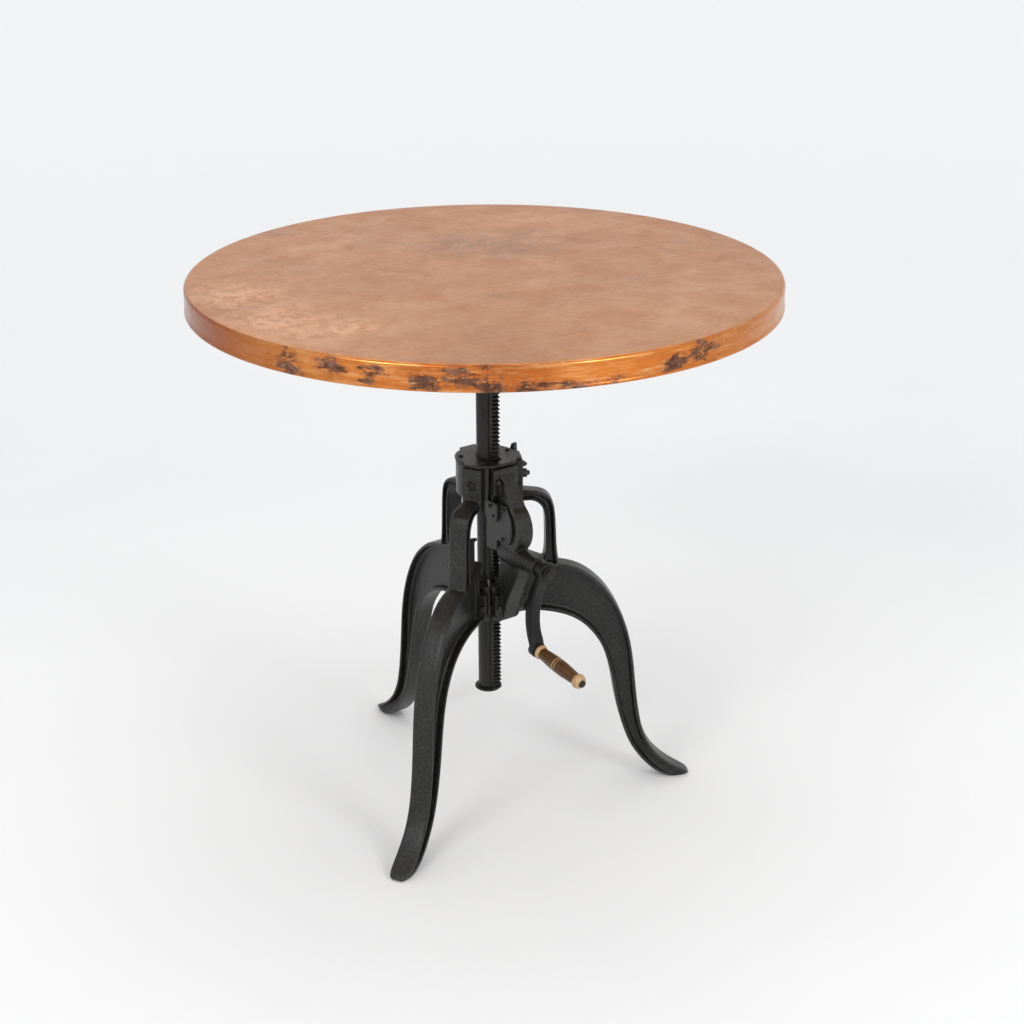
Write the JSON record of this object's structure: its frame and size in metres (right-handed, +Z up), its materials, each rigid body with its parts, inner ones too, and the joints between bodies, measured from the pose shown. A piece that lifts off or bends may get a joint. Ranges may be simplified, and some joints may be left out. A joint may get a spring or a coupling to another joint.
{
  "type": "crank-height pedestal table",
  "caption": "Round copper-clad tabletop on a toothed column, raised and lowered by a hand crank in a three-legged cast-iron base.",
  "frame": {"origin": "on the floor under the column's axis, which is the centre of the bounding box's bottom face", "axes": "+Z up along the column; the crank faces -Y; one leg points to +Y, the other two 30 degrees forward of -X and +X"},
  "size_m": [0.916, 0.916, 0.89],
  "materials": {
    "copper_sheet": "satin hammered copper sheet with darker patina on the edge band",
    "core_wood": "unfinished laminated wood core",
    "black_cast_iron": "semi-gloss black over a cast surface",
    "black_steel": "blackened satin steel",
    "oiled_steel": "oiled machined steel",
    "black_fasteners": "blackened, rubbed bright on the edges",
    "bronze_bush": "plain bearing bronze",
    "dark_wood": "stained and waxed turned hardwood",
    "pale_wood": "waxed pale turned hardwood"
  },
  "bodies": {
    "base": {"bracket_screw": "black_fasteners", "collar_lid": "black_cast_iron", "cover_screw_lower": "black_fasteners", "cover_screw_upper": "black_fasteners", "crank_bush": "bronze_bush", "gear_housing": "black_cast_iron", "guide_bracket": "black_cast_iron", "housing_bolt_lower_left": "black_fasteners", "housing_bolt_lower_right": "black_fasteners", "housing_bolt_upper_left": "black_fasteners", "housing_bolt_upper_right": "black_fasteners", "housing_cover": "black_cast_iron", "leg_back": "black_cast_iron", "leg_front_left": "black_cast_iron", "leg_front_right": "black_cast_iron", "lid_screw_a": "black_fasteners", "lid_screw_b": "black_fasteners", "lid_screw_c": "black_fasteners", "lower_bolt_back_left": "black_fasteners", "lower_bolt_back_right": "black_fasteners", "lower_bolt_front_left_left": "black_fasteners", "lower_bolt_front_left_right": "black_fasteners", "lower_bolt_front_right_left": "black_fasteners", "lower_bolt_front_right_right": "black_fasteners", "lower_bush": "bronze_bush", "lower_collar": "black_cast_iron", "upper_bolt_back": "black_fasteners", "upper_bolt_front_left": "black_fasteners", "upper_bolt_front_right": "black_fasteners", "upper_bush": "bronze_bush", "upper_collar": "black_cast_iron", "wheel_pin": "black_fasteners"},
    "top": {"copper_top": "copper_sheet", "wood_core": "core_wood", "top_flange": "black_cast_iron", "flange_screw_a": "black_fasteners", "flange_screw_b": "black_fasteners", "flange_screw_c": "black_fasteners", "flange_screw_d": "black_fasteners", "flange_set_screw": "black_fasteners", "column_tube": "black_steel", "column_rack": "black_steel", "column_end_disc": "black_steel", "column_end_screw": "black_fasteners"},
    "crank": {"crankshaft": "oiled_steel", "crank_arm": "black_cast_iron", "crank_hub_bolt": "black_fasteners", "handle_pin": "black_fasteners"},
    "handle": {"handle_grip": "dark_wood", "handle_inner_ferrule": "pale_wood", "handle_outer_ferrule": "pale_wood"},
    "wheel": {"lift_wheel": "oiled_steel"},
    "lock": {"lock_screw": "black_cast_iron"}
  },
  "joints": [
    {"name": "crank_turn", "type": "hinge", "parent": "base", "child": "crank", "pos_m": [0, -0.15, 0.446], "axis": [0, 1, 0], "range_deg": [-9000, 7200]},
    {"name": "column_lift", "type": "slide", "parent": "base", "child": "top", "axis": [0, 0, 1], "range_m": [-0.16664, 0.13339]},
    {"name": "wheel_spin", "type": "hinge", "parent": "base", "child": "wheel", "pos_m": [0, -0.06407, 0.49269], "axis": [1, 0, 0], "range_deg": [-258.5, 206.5]},
    {"name": "handle_spin", "type": "hinge", "parent": "crank", "child": "handle", "pos_m": [0, -0.1365, 0.304], "axis": [0, -0.9936, -0.1132], "continuous": true},
    {"name": "lock_turn", "type": "hinge", "parent": "base", "child": "lock", "pos_m": [0.04852, 0.0121, 0.568], "axis": [0.9703, 0.2419, 0], "range_deg": [0, 720]}
  ],
  "couplings": [
    {"joint": "column_lift", "follows": "crank_turn", "m_per_rad": 0.0010583},
    {"joint": "wheel_spin", "follows": "crank_turn", "ratio": 0.028571}
  ]
}
